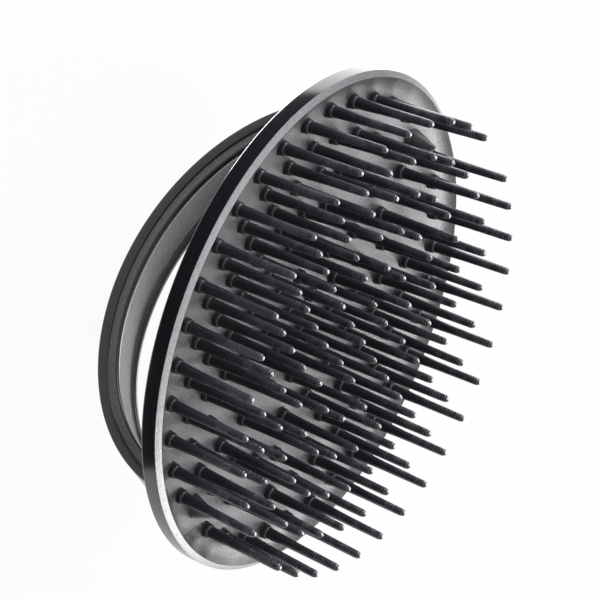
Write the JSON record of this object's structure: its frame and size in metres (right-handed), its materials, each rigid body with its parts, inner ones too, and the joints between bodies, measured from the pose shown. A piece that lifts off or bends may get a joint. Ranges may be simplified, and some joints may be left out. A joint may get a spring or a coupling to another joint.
{
  "type": "shampoo brush",
  "caption": "Round palm brush for shampooing: a dished plate of blunt pins in a shallow shell, with a finger hoop on the back.",
  "frame": {"origin": "lowest point of the hoop's crown, on the axis of the disc", "axes": "+Z along the pins, away from the hoop; X along the span of the hoop; Y across its strap"},
  "size_m": [0.08, 0.08, 0.0449],
  "materials": {
    "plate_plastic": "moulded, fine satin grain",
    "pin_plastic": "moulded, polished",
    "shell_plastic": "moulded, polished",
    "hoop_plastic": "moulded, polished"
  },
  "bodies": {
    "root": {"pin_plate": "plate_plastic", "centre_pin": "pin_plastic", "pin_ring_1": "pin_plastic", "pin_ring_2": "pin_plastic", "pin_ring_3": "pin_plastic", "pin_ring_4": "pin_plastic", "pin_ring_5": "pin_plastic", "pin_ring_6": "pin_plastic", "back_shell": "shell_plastic", "handle_hoop": "hoop_plastic"}
  },
  "joints": []
}
